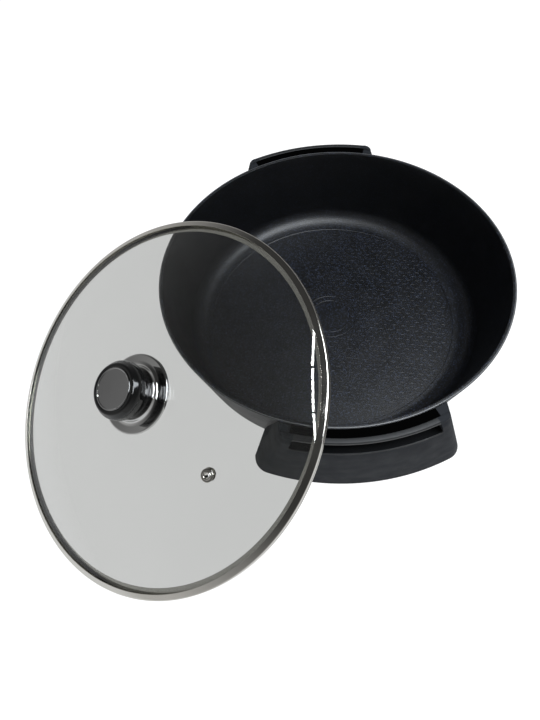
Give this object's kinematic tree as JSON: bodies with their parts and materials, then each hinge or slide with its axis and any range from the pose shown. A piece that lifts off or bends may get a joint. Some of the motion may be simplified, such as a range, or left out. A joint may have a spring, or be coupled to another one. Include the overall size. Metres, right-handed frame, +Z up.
{
  "type": "electric skillet",
  "caption": "Round electric skillet with a deep dark coated pan, two black handle legs and a loose domed glass lid leaning on its handle.",
  "frame": {"origin": "on the pan's axis, at table level under the pan", "axes": "+Z up along the pan's axis, -Y towards the front handle, +X towards the power inlet, away from the leaning lid"},
  "size_m": [0.5193, 0.4567, 0.1759],
  "materials": {
    "pan_coat": "satin non-stick coat with fine speckles",
    "sheath_steel": "matt steel sheath",
    "pin_metal": "bright turned metal",
    "ceramic": "unglazed ceramic",
    "bakelite": "moulded heat-proof plastic",
    "screw_steel": "zinc-plated",
    "cover_steel": "plain pressed sheet",
    "handle_plastic": "satin moulded heat-proof plastic",
    "foot_rubber": "matt",
    "lid_glass": "clear tempered glass",
    "band_steel": "polished rolled steel",
    "gasket_rubber": "translucent silicone",
    "knob_chrome": "mirror",
    "knob_plastic": "high gloss",
    "cap_mirror": "mirror",
    "vent_steel": "polished"
  },
  "bodies": {
    "cooker": {"pan": "pan_coat", "heating_element": "sheath_steel", "terminal_pins": "pin_metal", "terminal_collars": "ceramic", "inlet_housing": "bakelite", "inlet_screws": "screw_steel", "bottom_cover": "cover_steel", "cover_screws": "screw_steel", "front_handle_leg": "handle_plastic", "rear_handle_leg": "handle_plastic", "front_handle_screws": "screw_steel", "rear_handle_screws": "screw_steel", "front_left_foot": "foot_rubber", "front_right_foot": "foot_rubber", "rear_left_foot": "foot_rubber", "rear_right_foot": "foot_rubber"},
    "lid": {"lid_glass": "lid_glass", "lid_band": "band_steel", "upper_gasket": "gasket_rubber", "knob_base": "knob_chrome", "knob_grip": "knob_plastic", "knob_cap": "cap_mirror", "lower_gasket": "gasket_rubber", "knob_washer": "screw_steel", "knob_screw": "screw_steel", "vent_eyelet": "vent_steel", "vent_ring": "vent_steel"}
  },
  "joints": [
    {"name": "lid_lift", "type": "slide", "parent": "cooker", "child": "lid", "axis": [-0.4223, -0.2255, 0.878], "range_m": [0, 0.2]}
  ]
}
